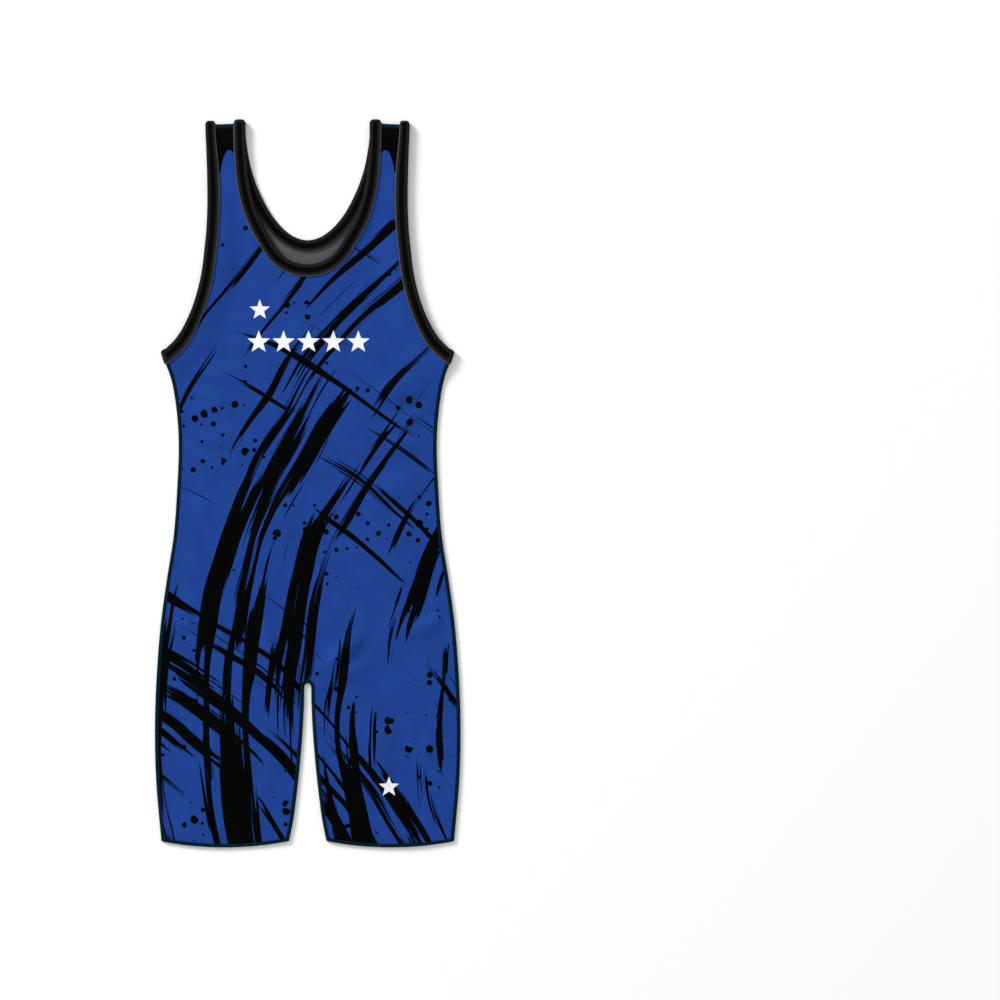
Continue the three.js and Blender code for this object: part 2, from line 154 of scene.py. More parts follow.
def smooth_line(rows, step):
    """Evenly spaced points on a curve through every row. One that ends on the middle ends level."""
    rows = np.array(rows, float)
    after = 2 * rows[-1] - rows[-2]
    if rows[-1][0] == 0.0:
        after = rows[-2] * [-1.0, 1.0]
    held = np.vstack([2 * rows[0] - rows[1], rows, after])
    fine = []
    for a, b, c, d in zip(held, held[1:], held[2:], held[3:]):
        gaps = [np.linalg.norm(q - p) ** 0.5 for p, q in ((a, b), (b, c), (c, d))]
        k0, k1, k2, k3 = np.cumsum([0.0, *gaps])
        t = np.linspace(k1, k2, curve_points, endpoint=False)[:, None]
        ab, bc, cd = between(a, b, t, k0, k1), between(b, c, t, k1, k2), between(c, d, t, k2, k3)
        fine.append(between(between(ab, bc, t, k0, k2), between(bc, cd, t, k1, k3), t, k1, k2))
    return spaced(np.vstack([*fine, rows[-1:]]), step)


def right_of(points):
    """Unit vectors to the right of a line's direction of travel."""
    along = unit(np.gradient(points, axis=0))
    return np.column_stack([along[:, 1], -along[:, 0]])


def distance_to(line, x, y):
    """How far each place is from a line, in millimetres."""
    start, run = line[:-1], np.diff(line, axis=0)
    from_start = np.stack([np.subtract.outer(x, start[:, 0]), np.subtract.outer(y, start[:, 1])], -1)
    share = np.clip((from_start * run).sum(-1) / (run * run).sum(-1), 0.0, 1.0)
    return np.linalg.norm(from_start - share[..., None] * run, axis=-1).min(axis=-1)


def fade(distance, start, end):
    """1 up to the first distance, 0 past the second, and smooth between."""
    t = np.clip((distance - start) / (end - start), 0.0, 1.0)
    return 1 - t * t * (3 - 2 * t)


# %% Maps of the distance to each edge, worked out once
measuring_step = 4.0
map_step = 3.0
map_x = np.arange(0.0, 210.0, map_step)
map_y = np.arange(-432.0, 438.0, map_step)


def distance_map(rows):
    x, y = np.meshgrid(map_x, map_y, indexing="ij")
    return distance_to(smooth_line(rows, measuring_step), x, y)


def read_map(chart, x, y):
    """Reads a map between its points."""
    across = np.clip((x - map_x[0]) / map_step, 0.0, len(map_x) - 1.001)
    along = np.clip((y - map_y[0]) / map_step, 0.0, len(map_y) - 1.001)
    column, row = across.astype(int), along.astype(int)
    u, v = across - column, along - row
    low = chart[column, row] * (1 - u) + chart[column + 1, row] * u
    high = chart[column, row + 1] * (1 - u) + chart[column + 1, row + 1] * u
    return low * (1 - v) + high * v


def close_to(chart, x, y, start, end):
    """1 near an edge and 0 away from it, on both halves."""
    return fade(read_map(chart, np.abs(x), y), start, end)


from_front_neck, from_back_neck, from_armhole, from_side = [
    distance_map(rows) for rows in (front_neck_rows, back_neck_rows, armhole_rows, side_rows)
]
print("each map has", from_side.size, "places")

# %% [markdown]
# ## Creases
#
# Cloth that has been worn and laid down is never quite flat: it keeps soft ridges where it was
# pulled, at the underarms, the waist and the crotch. A cloth simulation would make ones of its
# own choosing. Here they are listed, as a tailor would point at them, each with its own
# length, bow, width and height. One side of a ridge is steeper, and a shallow trough runs beside it.

# %% Rows of creases, in millimetres
Crease = namedtuple("Crease", "x0 y0 x1 y1 bow width height")
front_creases = [Crease(*row) for row in (
    (151, 122, 58, 84, -9, 9, 1.5), (150, 98, 92, 66, 5, 6, 1.0), (-150, 126, -74, 104, 8, 8, 1.3),
    (-149, 100, -96, 54, -6, 6.5, 1.1), (-147, 52, -52, 30, 7, 10, 1.1),
    (147, 34, 66, 46, -5, 9, 1.0), (150, -12, 96, 4, 4, 7, 0.8), (-150, -22, -104, -44, 5, 8, 0.9),
    (-92, -30, 34, -74, 12, 15, 1.0), (24, 108, 88, 22, -14, 14, 0.8),
    (8, -226, 74, -150, -9, 8, 1.6), (-7, -226, -60, -136, 7, 8.5, 1.5),
    (1, -224, 7, -150, 3, 6, 1.0), (10, -236, 96, -206, 6, 7, 1.2),
    (-10, -238, -84, -214, -5, 7, 1.1), (166, -146, 102, -172, 6, 9, 1.0),
    (-165, -152, -112, -166, -4, 8, 1.0), (62, -276, 84, -372, 7, 12, 0.9),
    (-112, -262, -88, -356, -8, 13, 1.0), (-48, -300, -58, -374, 4, 8, 0.7),
    (142, -262, 124, -338, 6, 10, 0.8), (-46, 232, 30, 214, -12, 9, 0.9),
    (34, 196, 92, 208, 6, 8, 0.7), (-98, 268, -104, 206, 5, 7, 0.8),
    (102, 252, 112, 196, -4, 6, 0.7), (-90, 352, -94, 292, 2, 5, 0.5),
)]
back_creases = [Crease(*row) for row in (
    (-149, 112, -70, 70, 8, 9, 1.1), (150, 106, 84, 92, -6, 8, 1.0),
    (-147, 38, -60, 16, -7, 10, 0.9), (148, 26, 52, -6, 9, 11, 1.0),
    (-40, 214, 52, 226, 10, 10, 0.7), (-6, -222, -66, -160, 7, 9, 1.1),
    (6, -222, 56, -168, -6, 9, 1.1), (10, -238, 90, -222, 5, 7, 0.9),
    (-164, -136, -100, -160, 5, 10, 0.9), (164, -158, 120, -164, -4, 8, 0.8),
    (-70, -282, -86, -362, 6, 12, 0.8), (96, -270, 82, -352, -7, 11, 0.8),
    (-22, 120, 30, 40, 12, 15, 0.6),
)]
crease_fade_width = 26.0
crease_gain = 1.9
gentle_side, steep_side, widening, trough = 1.5, 0.85, 0.5, 0.9


def creased(rows, x, y):
    """How high the creases lift the cloth at each place."""
    lifted = np.zeros_like(x)
    for row in rows:
        start, end = np.array([row.x0, row.y0]), np.array([row.x1, row.y1])
        length = np.linalg.norm(end - start)
        along = (end - start) / length
        run = (x - row.x0) * along[0] + (y - row.y0) * along[1]
        share = run / length
        off = (x - row.x0) * -along[1] + (y - row.y0) * along[0]
        off = off - row.bow * 4 * share * (1 - share)
        width = row.width * np.where(off > 0, gentle_side, steep_side)
        across = (off / (width * (1.0 + widening * np.clip(share, 0, 1)))) ** 2
        taper = fade(np.abs(2 * share - 1), 0.0, 1.0)
        lifted += row.height * crease_gain * taper * (1 - trough * across) * np.exp(-across)
    return lifted * (1 - close_to(from_side, x, y, 0.0, crease_fade_width))


print("creases:", len(front_creases), "in front,", len(back_creases), "through both panels")

# %% [markdown]
# ## How high the cloth lies
#
# The back lies on the table and the front lies on the back. Towards a bound edge both rise,
# because the folded strip is thicker than they are. Two height functions say this once, and every
# piece reads them: the cloth, the strips, the seams and the stitches all follow one form.

# %% Heights of the middle of each panel's wall
bound_shelf = 16.0
back_slope_end, front_slope_end, shoulder_slope_end = 34.0, 46.0, 60.0
neck_drop_start, neck_drop_end = 18.0, 38.0
swell_height, swell_length, swell_width, swell_fade_width = 0.5, 210.0, 150.0, 45.0


def swell(x, y):
    """The front is a little fuller than the back, so it rises in very soft waves."""
    inside = 1 - close_to(from_side, x, y, 0.0, swell_fade_width)
    wave = 1 + np.cos(2 * np.pi * y / swell_length) * np.cos(2 * np.pi * x / swell_width)
    return swell_height / 2 * wave * inside


def towards_binding(rest, full, x, y, neck, slope_end):
    """Cloth that rises from where it rests to its full height in the binding."""
    arm = close_to(from_armhole, x, y, bound_shelf, slope_end)
    strap = fade(shoulder_axis_y - y, bound_shelf, shoulder_slope_end)
    return rest + (full - rest) * (1 - (1 - neck) * (1 - arm) * (1 - strap))


def back_height(x, y):
    x, y = np.asarray(x, float), np.asarray(y, float)
    neck = close_to(from_back_neck, x, y, bound_shelf, back_slope_end)
    rest = back_on_floor + np.maximum(creased(back_creases, x, y), 0.0)
    return towards_binding(rest, back_in_binding, x, y, neck, back_slope_end)


def front_height(x, y):
    x, y = np.asarray(x, float), np.asarray(y, float)
    over_back = close_to(from_back_neck, x, y, neck_drop_start, neck_drop_end)
    neck_top = front_neck_bottom + (front_in_binding - front_neck_bottom) * over_back
    rest = front_on_back + swell(x, y) + creased(front_creases, x, y)
    rest = rest + np.maximum(creased(back_creases, x, y), 0.0)
    near_neck = close_to(from_front_neck, x, y, bound_shelf, front_slope_end)
    neck = (neck_top - rest) / (front_in_binding - rest) * near_neck
    return towards_binding(rest, front_in_binding, x, y, neck, front_slope_end)


def height_normal(height, x, y):
    """Unit vectors square to a panel."""
    reach = 0.5
    slope_x = (height(x + reach, y) - height(x - reach, y)) / (2 * reach)
    slope_y = (height(x, y + reach) - height(x, y - reach)) / (2 * reach)
    return unit(np.stack([-slope_x, -slope_y, np.ones_like(slope_x)], -1))


def roll_radius(x, y):
    """Half the distance between the panels, which is the radius that a seam rolls over with."""
    return (front_height(x, y) - back_height(x, y)) / 2


print("at the chest the front lies at", front_height([0.0], [150.0])[0].round(2), "mm")

# %% [markdown]
# ## The two panels
#
# A panel is a sheet, so it is made as one: a surface of points a few millimetres apart, dense
# enough for the creases to turn softly, and given its thickness on both sides. Along a seam it
# rolls over a quarter of a circle to meet the other panel. A grid would step along the curved
# edges, so the points are joined by triangles that follow the outline exactly.

# %% Outline of half a panel, clockwise from the middle of the neck
lattice_step, lattice_columns, lattice_clearance = 4.4, 45, 0.62
edge_step = 3.6
roll_turns = np.linspace(np.pi / 2, 0.0, 7)


def roll_line(points):
    """The line where a panel starts to roll over, so that the roll reaches the seam's own line."""
    right = right_of(points)
    guess = points + right * fold_radius
    reach = roll_radius(guess[:, 0], guess[:, 1]) + solid_wall / 2
    return points + right * reach[:, None]


def hem_line(start, end):
    """The hem reaches lowest in the middle of the leg."""
    count = round(np.linalg.norm(end - start) / edge_step / 2) * 2
    share = np.linspace(0.0, 1.0, count + 1)[:, None]
    points = start + (end - start) * share
    drop = (start[1] + end[1]) / 2 + half_length
    points[:, 1] -= drop * 4 * share[:, 0] * (1 - share[:, 0])
    return points


strap_dip, strap_dip_start, strap_dip_end = 3.4, 8.0, 13.8
shoulder_rounding, underarm_rounding = 4.6, 3.0
neck_narrowing, armhole_narrowing, underarm_widening = 0.94, 0.80, 1.09


def rounded_end(into, rounding=shoulder_rounding):
    """How far a strip's folded end draws back towards both of its edges, so that it looks round."""
    near = np.clip(rounding - np.minimum(into, binding_width - into), 0.0, rounding)
    return rounding - np.sqrt(rounding**2 - near**2)


def into_straps(x):
    """How far a place on the shoulder is inside its nearer strip, or past it."""
    return np.minimum((x - strap_inner_x) / neck_narrowing, (strap_outer_x - x) / armhole_narrowing)


def shoulder_drop(x):
    """Between its two strips the cloth at the top of a strap sinks a little."""
    into = into_straps(x)
    dip = strap_dip * (1 - fade(into, strap_dip_start, strap_dip_end))
    return dip + rounded_end(into) * (into < binding_width / 2)


def half_outline(neck_rows):
    neck_line = smooth_line(neck_rows, edge_step)
    neck = (neck_line - right_of(neck_line) * edge_inset)[::-1]
    armhole_line = smooth_line(armhole_rows, edge_step)
    armhole = armhole_line + right_of(armhole_line) * edge_inset
    neck[0, 0] = 0.0
    neck[-1] = strap_inner_x + edge_inset, shoulder_axis_y
    armhole[0] = strap_outer_x - edge_inset, strap_outer_y
    side_top = underarm_axis + underarm_down * edge_inset
    armhole[-1] = side_top
    shoulder = spaced(np.array([neck[-1], armhole[0]]), edge_step / 2)
    drop = shoulder_drop(shoulder[:, 0])
    shoulder[:, 1] -= drop
    neck[-1, 1] -= drop[0]
    armhole[0, 1] -= drop[-1]
    side = roll_line(smooth_line(side_rows, edge_step))
    side[0] = side_top
    turn = np.linspace(0.0, np.pi / 2, 7)[1:]
    crotch = np.column_stack([np.cos(turn), np.sin(turn)]) * crotch_radius
    crotch[:, 1] += crotch_top_y - crotch_radius
    inseam = roll_line(np.vstack([smooth_line(inseam_rows, edge_step), crotch]))
    inseam[-1, 0] = 0.0
    hem = hem_line(side[-1], inseam[0])
    return {
        "neck": neck, "shoulder": shoulder, "armhole": armhole,
        "side": side, "hem": hem, "inseam": inseam,
    }


front_outline = half_outline(front_neck_rows)
back_outline = half_outline(back_neck_rows)
print("half outline:", {kind: len(points) for kind, points in front_outline.items()})


# %% Ways out of each seam
def seam_outwards(kind, points):
    """Unit vectors that point out of the cloth along a seam."""
    out = -right_of(points)
    if kind == "shoulder":
        out[:] = 0.0, 1.0
    if kind == "side":
        out[0] = underarm_out
    if kind == "inseam":
        out[-1] = 0.0, -1.0
    if kind == "hem":
        out[0] = out[-1] = 0.0, -1.0
    return out


# %% A panel's flat part: outline, lattice and triangles
def flat_panel(outline):
    """Places, triangles, and for each stretch of outline its point numbers on both halves."""
    stretches, loop = {}, []
    for kind, points in outline.items():
        stretches[kind] = np.arange(len(loop), len(loop) + len(points))
        loop += list(points[:-1])
    loop.append(outline["inseam"][-1])
    total = 2 * (len(loop) - 1)
    loop = np.array(loop)
    loop = np.vstack([loop, loop[-2:0:-1] * [-1.0, 1.0]])

    tree = KDTree(len(loop))
    for number, (x, y) in enumerate(loop):
        tree.insert((x, y, 0.0), number)
    tree.balance()
    rise = lattice_step * math.sqrt(0.75)
    inner = []
    for row in range(int(2 * half_length / rise) + 1):
        y = row * rise - half_length
        for column in range(-lattice_columns, lattice_columns + 1):
            x = (column + 0.5 * (row % 2)) * lattice_step
            if tree.find((x, y, 0.0))[2] > lattice_clearance * lattice_step:
                inner.append((x, y))
    points = np.vstack([loop, inner])
    outline_face = list(range(total))[::-1]
    keep_inside, merged_within = 1, 1e-5
    found = delaunay_2d_cdt(
        [tuple(p) for p in points], [], [outline_face], keep_inside, merged_within, True
    )
    inside = [face for face, parents in zip(found[2], found[5]) if parents]
    print("triangles:", len(found[2]), "of them inside:", len(inside))
    places = np.array([(v[0], v[1]) for v in found[0]])
    number_of = {old: new for new, olds in enumerate(found[3]) for old in olds}
    numbers = {
        kind: [np.array([number_of[n % total] for n in way]) for way in (ids, total - ids)]
        for kind, ids in stretches.items()
    }
    return places, np.array([list(face) for face in inside]), numbers


# %% A new object from places and faces
def linked(name, data):
    """A new object in the scene."""
    made = bpy.data.objects.new(name, data)
    bpy.context.scene.collection.objects.link(made)
    return made


def mesh_object(name, places, faces, materials, face_materials=None):
    """A new object at the origin. The places are in millimetres."""
    mesh = bpy.data.meshes.new(name)
    mesh.from_pydata([tuple(p) for p in np.asarray(places) * MM], [], [list(f) for f in faces])
    for material in materials:
        mesh.materials.append(material)
    if face_materials is not None:
        mesh.polygons.foreach_set("material_index", np.asarray(face_materials, np.int32))
    return linked(name, mesh)


def select_only(piece):
    bpy.ops.object.select_all(action="DESELECT")
    piece.select_set(True)
    bpy.context.view_layer.objects.active = piece


def smooth_shaded(piece, degrees):
    """Shades a piece smooth, apart from edges sharper than this."""
    select_only(piece)
    bpy.ops.object.shade_smooth_by_angle(angle=math.radians(degrees))
    piece.select_set(False)


# %% A sheet's two faces and its rim
def sheet_shell(places, normals, triangles, thickness):
    """A sheet given its thickness: its upper face, its lower face and the rim that joins them."""
    upper, lower = places + normals * thickness / 2, places - normals * thickness / 2
    count = len(places)
    sides = np.vstack([triangles[:, [0, 1]], triangles[:, [1, 2]], triangles[:, [2, 0]]])
    known = {(a, b) for a, b in sides.tolist()}
    rim = sorted((a, count + a, count + b, b) for a, b in known if (b, a) not in known)
    faces = triangles.tolist() + (triangles[:, ::-1] + count).tolist() + [list(f) for f in rim]
    kinds = [0] * len(triangles) + [1] * len(triangles) + [2] * len(rim)
    return np.vstack([upper, lower]), faces, np.array(kinds)


# %% Build a panel
weld_digits = 4


def rolled(points, out, radius, centre, turn, upward=1, gap=0.0):
    """A line that has rolled over an edge by an angle, and its normals."""
    reach = (radius * math.cos(turn))[:, None]
    rise = gap / 2 + (radius - gap / 2) * math.sin(turn)
    tilt = upward * math.cos(turn)
    normals = np.column_stack([out * tilt, np.full(len(out), math.sin(turn))])
    return np.column_stack([points + out * reach, centre + upward * rise]), normals


def panel_surface(outline, height, upward):
    """The middle surface of a panel, with its rolls. Upward is +1 in front and -1 behind."""
    flat, triangles, numbers = flat_panel(outline)
    x, y = flat.T
    places = [np.column_stack([x, y, height(x, y)])]
    normals = [height_normal(height, x, y)]
    faces = [triangles]
    count = len(flat)
    for kind in ("shoulder", "side", "inseam"):
        points = outline[kind]
        out = seam_outwards(kind, points)
        middle = (front_height(*points.T) + back_height(*points.T)) / 2
        edge = points, out, roll_radius(*points.T), middle
        for ids, mirror in zip(numbers[kind], (1, -1)):
            rings = [ids]
            for turn in roll_turns[1:]:
                place, normal = rolled(*edge, turn, upward, seam_gap)
                places.append(place * [mirror, 1, 1])
                normals.append(normal * [mirror, 1, 1])
                rings.append(np.arange(count, count + len(points)))
                count += len(points)
            for near, far in zip(rings, rings[1:]):
                faces.append(np.column_stack([near[:-1], near[1:], far[1:]]))
                faces.append(np.column_stack([near[:-1], far[1:], far[:-1]]))
    places, normals, faces = np.vstack(places), np.vstack(normals), np.vstack(faces)
    found = np.unique(places.round(weld_digits), axis=0, return_index=True, return_inverse=True)
    first, numbers_now = found[1:]
    faces = first[numbers_now.reshape(-1)[faces]]
    used, faces = np.unique(faces, return_inverse=True)
    places, normals, faces = places[used], normals[used], faces.reshape(-1, 3)
    a, b, c = (places[faces[:, corner]] for corner in range(3))
    lean = (np.cross(b - a, c - a) * normals[faces].sum(axis=1)).sum(axis=1)
    faces[lean < 0] = faces[lean < 0][:, ::-1]
    return places, normals, faces


def panel(name, outline, height, upward, materials):
    """One panel. The print is on its outer face, and the bare knit on its inner one."""
    places, normals, triangles = panel_surface(outline, height, upward)
    shell, faces, kinds = sheet_shell(places, normals, triangles, cloth_thickness)
    inner_kind = 1 if upward > 0 else 0
    piece = mesh_object(name, shell, faces, materials, kinds == inner_kind)
    smooth_shaded(piece, 50)
    a, b, c = (places[triangles[:, corner]] for corner in range(3))
    area = np.linalg.norm(np.cross(b - a, c - a), axis=1).sum() / 2 * MM * MM
    print(name, "has", len(faces), "faces and", round(area, 4), "square metres of cloth")
    return piece, area


# %% [markdown]
# ## Finishes of the cloth
#
# The suit is white knit printed all over, so the colours lie in the outer face and the inner
# face stays grey: a plain grey darkened as painted shade inside the garment. A painted picture
# would need an image file. A print of brushed strokes can be made from noise that is stretched
# along a curve: cut at a level, it leaves long black strokes with ragged ends. The knit itself is a
# fine relief, the same in both finishes, so it is a node group that each material uses with its own
# values.
# Shader arithmetic is long to write node by node, so a small class turns plain sums into nodes.

# %% Numbers and colours that change over a surface
class Field:
    """What a socket puts out. Arithmetic on it adds nodes to the tree that it is in."""

    def __init__(self, socket):
        self.socket = socket
        self.tree = socket.id_data

    def math(self, operation, *others, kind="ShaderNodeMath"):
        return result(self.tree, kind, enumerate((self, *others)), operation=operation)

    def __add__(self, other):
        return self.math("ADD", other)

    def __sub__(self, other):
        return self.math("SUBTRACT", other)

    def __mul__(self, other):
        return self.math("MULTIPLY", other)

    def __truediv__(self, other):
        return self.math("DIVIDE", other)


def put(value, socket):
    """Gives a socket a plain value, or links a field to it."""
    if isinstance(value, Field):
        value.tree.links.new(value.socket, socket)
    else:
        socket.default_value = value


def node(tree, kind, inputs=(), **settings):
    """Adds a node. Each input is a field or a plain value."""
    made = tree.nodes.new(kind)
    for name, value in settings.items():
        setattr(made, name, value)
    for key, value in dict(inputs).items():
        put(value, made.inputs[key])
    return made


def result(tree, kind, inputs=(), which=0, **settings):
    """Adds a node, and gives back one of its outputs as a field."""
    return Field(node(tree, kind, inputs, **settings).outputs[which])


# %% Small helpers for node trees
VECTOR_MATH = "ShaderNodeVectorMath"


def ramp(value, low, high, start=0.0, end=1.0):
    """Maps low..high to start..end in a straight line, and holds it at both ends."""
    wanted = {"Value": value, "From Min": low, "From Max": high, "To Min": start, "To Max": end}
    return result(value.tree, "ShaderNodeMapRange", wanted, clamp=True)


def noise(place, scale, detail, roughness=0.5, which=0):
    wanted = {"Vector": place, "Scale": scale, "Detail": detail, "Roughness": roughness}
    return result(place.tree, "ShaderNodeTexNoise", wanted, which)


def varied(cloud, low, high):
    """Spreads a noise, which mostly lies between 0.3 and 0.7, over low..high."""
    return ramp(cloud, 0.3, 0.7, low, high)


def split(vector):
    return [Field(part) for part in node(vector.tree, "ShaderNodeSeparateXYZ", {0: vector}).outputs]


def joined(x, y, z=0.0):
    return result(x.tree, "ShaderNodeCombineXYZ", {0: x, 1: y, 2: z})


def hypotenuse(x, y):
    return (x * x + y * y).math("SQRT")


def blended(share, first, second):
    """Mixes two colours."""
    wanted = {0: share, 6: first, 7: second}
    return result(share.tree, "ShaderNodeMix", wanted, 2, data_type="RGBA", blend_type="MIX")


def tinted(colour, light):
    """A colour made lighter or darker."""
    return result(light.tree, VECTOR_MATH, {0: colour, 3: light}, operation="SCALE")


# %% Small helpers for materials and groups
def new_material(name):
    material = bpy.data.materials.new(name)
    material.use_nodes = True
    return material, material.node_tree.nodes["Principled BSDF"]


def object_place(shader):
    """Each piece's own coordinates."""
    return result(shader.id_data, "ShaderNodeTexCoord", which="Object")


def give_finish(shader, colour, roughness, shine):
    put(colour, shader.inputs["Base Color"])
    put(roughness, shader.inputs["Roughness"])
    put(shine, shader.inputs["Specular IOR Level"])


def give_relief(shader, height, strength, depth):
    wanted = {"Strength": strength, "Distance": depth, "Height": height}
    put(result(height.tree, "ShaderNodeBump", wanted), shader.inputs["Normal"])


def new_group(name, inputs, outputs):
    """A shader node group, its input fields and its output sockets. A vector's value is None."""
    tree = bpy.data.node_groups.new(name, "ShaderNodeTree")
    for label, value in inputs.items():
        kind = "NodeSocketVector" if value is None else "NodeSocketFloat"
        socket = tree.interface.new_socket(name=label, in_out="INPUT", socket_type=kind)
        if value is not None:
            socket.default_value = value
    for label in outputs:
        tree.interface.new_socket(name=label, in_out="OUTPUT", socket_type="NodeSocketFloat")
    start, end = tree.nodes.new("NodeGroupInput"), tree.nodes.new("NodeGroupOutput")
    return tree, [Field(start.outputs[label]) for label in inputs], end.inputs


def use_group(group, place, values):
    """Places a group with its own values, and gives back the fields that it puts out."""
    made = node(place.tree, "ShaderNodeGroup", {"Place": place, **values}, node_tree=group)
    return [Field(socket) for socket in made.outputs]


print("node helpers are ready")


# %% Group: fine knit
def fine_knit():
    """The relief of its wales and courses, and a soft cloudy shade."""
    tree, (place, wale, course), ends = new_group(
        "fine_knit", {"Place": None, "Wale": 0.0009, "Course": 0.0007}, ["Height", "Shade"]
    )
    loop_lean, loop_share, whole_turn = 0.9, 0.35, 2 * math.pi
    x, y, _ = split(place)
    lean = (x / wale).math("PINGPONG", 0.5)
    wales = (lean * whole_turn).math("SINE")
    loops = ((lean * loop_lean + y / course) * whole_turn).math("SINE")
    put(loops * loop_share + wales, ends["Height"])
    put(noise(place, scale=38.0, detail=3.0, roughness=0.55), ends["Shade"])
    return tree


knit_group = fine_knit()
print("the knit's relief and shade:", len(knit_group.nodes), "nodes")


# %% Group: brushed strokes along arcs round a centre
def brushed_strokes():
    """Noise drawn out along arcs and cut at a level. Finer noise makes the ends ragged."""
    tree, inputs, ends = new_group(
        "brushed_strokes",
        {
            "Place": None, "Centre": None, "Reach": 0.66, "Spread": 0.1, "Across": 34.0,
            "Along": 3.0, "Level": 0.5, "Seed": 0.0, "Facing": 1.0,
        },
        ["Mask"],
    )
    place, centre, reach, spread, across, along, level, seed, facing = inputs
    waver_by, bristles_across, bristles_along = (0.024, 0.024, 0.0), 9.0, 2.0
    bristle_share, crowding = 0.16, 0.13
    waver = noise(place, scale=7.0, detail=1.0, which="Color")
    shifted = waver.math("MULTIPLY_ADD", waver_by, place, kind=VECTOR_MATH)
    x, y, _ = split(shifted.math("SUBTRACT", centre, kind=VECTOR_MATH))
    radius = hypotenuse(x, y)
    arc = y.math("ARCTAN2", x * facing) * reach
    broad = noise(joined(radius * across, arc * along, seed), scale=1.0, detail=2.0)
    fine = joined(radius * (across * bristles_across), arc * (along * bristles_along), seed)
    bristles = noise(fine, scale=1.0, detail=1.0)
    off_line = (radius - reach) / spread
    density = (off_line * off_line * -1.0).math("EXPONENT")
    ink = (bristles - 0.5) * bristle_share + broad - (density * -crowding + level)
    put(ramp(ink, -0.004, 0.006), ends["Mask"])
    return tree


stroke_group = brushed_strokes()
print("strokes on arcs:", len(stroke_group.nodes), "nodes")


# %% Group: splashes
def splashes():
    """Round drops of uneven size, where a broad noise says that it is wet."""
    tree, (place, scale, size), ends = new_group(
        "splashes", {"Place": None, "Scale": 60.0, "Size": 0.3}, ["Mask"]
    )
    wanted = {"Vector": place, "Scale": scale, "Randomness": 1.0}
    drops = node(tree, "ShaderNodeTexVoronoi", wanted, voronoi_dimensions="2D")
    drop_seed = split(Field(drops.outputs["Color"]))[0]
    wet = ramp(noise(place, scale=9.0, detail=1.0), 0.5, 0.62)
    drop_size = drop_seed.math("POWER", 3.0) * size * wet
    put(ramp(drop_size - Field(drops.outputs["Distance"]), 0.0, 0.02), ends["Mask"])
    return tree


splash_group = splashes()
print("splashes:", len(splash_group.nodes), "nodes")


# %% Group: five-pointed stars in a row
def plain_stars():
    """A row of stars that are a pitch apart. Between tips the edge runs in to a notch."""
    tree, (place, middle, pitch_x, pitch_y, count, tip), ends = new_group(
        "plain_stars",
        {
            "Place": None, "Middle": None, "Pitch X": 0.0, "Pitch Y": 0.0, "Count": 1.0,
            "Tip": 0.012,
        },
        ["Mask"],
    )
    half_count = (count - 1.0) * 0.5
    half_fifth = math.pi / 5
    notch = 0.42
    notch_x, notch_y = notch * math.cos(half_fifth), notch * math.sin(half_fifth)

    def from_nearest(value, pitch):
        """Distance along one axis to the nearest star of the row."""
        number = (value / pitch.math("MAXIMUM", 0.0001) + half_count).math("ROUND")
        number = number.math("MAXIMUM", 0.0).math("MINIMUM", half_count * 2.0)
        return value - (number - half_count) * pitch

    x, y, _ = split(place.math("SUBTRACT", middle, kind=VECTOR_MATH))
    x, y = from_nearest(x, pitch_x), from_nearest(y, pitch_y)
    sector = x.math("ARCTAN2", y).math("PINGPONG", half_fifth)
    radius = hypotenuse(x, y) / tip
    along_tip, across_tip = radius * sector.math("COSINE"), radius * sector.math("SINE")
    inside = across_tip * (notch_x - 1.0) + (along_tip - 1.0) * -notch_y
    put(ramp(inside, 0.0, 0.012), ends["Mask"])
    return tree


star_group = plain_stars()
print("stars:", len(star_group.nodes), "nodes")

# %% Colours, marks and strokes of the printed outer face
royal_blue = (0.0128, 0.0498, 0.2540, 1.0)
print_black = (0.0008, 0.0011, 0.0012, 1.0)
print_white = (0.82, 0.83, 0.84, 1.0)
Mark = namedtuple("Mark", "x y pitch_x pitch_y count tip")
front_marks = [
    Mark(0.001, 0.162, 0.0286, 0.0, 5, 0.0138),
    Mark(-0.055, 0.199, 0.0, 0.0, 1, 0.0125),
    Mark(0.0935, -0.349, 0.0, 0.0, 1, 0.0125),
]
back_marks = [Mark(0.0, 0.071, 0.0, 0.0305, 10, 0.0125)]

brush_strokes = [
    {
        "Centre": (0.56, -0.26, 0.0), "Reach": 0.62, "Spread": 0.13, "Across": 52.0,
        "Along": 3.2, "Level": 0.652, "Seed": 2.7, "Facing": -1.0,
    },
    {
        "Centre": (-0.46, -0.70, 0.0), "Reach": 0.60, "Spread": 0.09, "Across": 70.0,
        "Along": 4.2, "Level": 0.66, "Seed": 9.1, "Facing": 1.0,
    },
]
splash_values = {"Scale": 85.0, "Size": 0.52}
strokes_end_y, strokes_gone_y = 0.300, 0.305
print("sweeps of strokes:", len(brush_strokes))

# %% The printed outer face
arch_x, arch_y, arch_foot_y = 0.0893, 0.3822, 0.3565
arm_width, arm_drop, arm_power = 0.0105, 0.024, 2.4
neck_width, neck_drop = 0.0060, 0.006
print_edge = 0.0004


def strap_top(x, y):
    """The plain black top of each strap. Its lower edge is an arch."""
    off = x.math("ABSOLUTE") - arch_x
    to_arm = (off.math("MAXIMUM", 0.0) / arm_width).math("POWER", arm_power)
    to_neck = off.math("MINIMUM", 0.0) / neck_width
    edge = to_neck * to_neck * -neck_drop + (to_arm * -arm_drop + arch_y)
    return ramp(y - edge.math("MAXIMUM", arch_foot_y), -print_edge, print_edge)


def knit_relief(shader, place, strength):
    """Puts the fine knit's relief on a shader, and gives back its soft shade."""
    height, shade = use_group(knit_group, place, {})
    give_relief(shader, height, strength, depth=0.0002)
    return shade


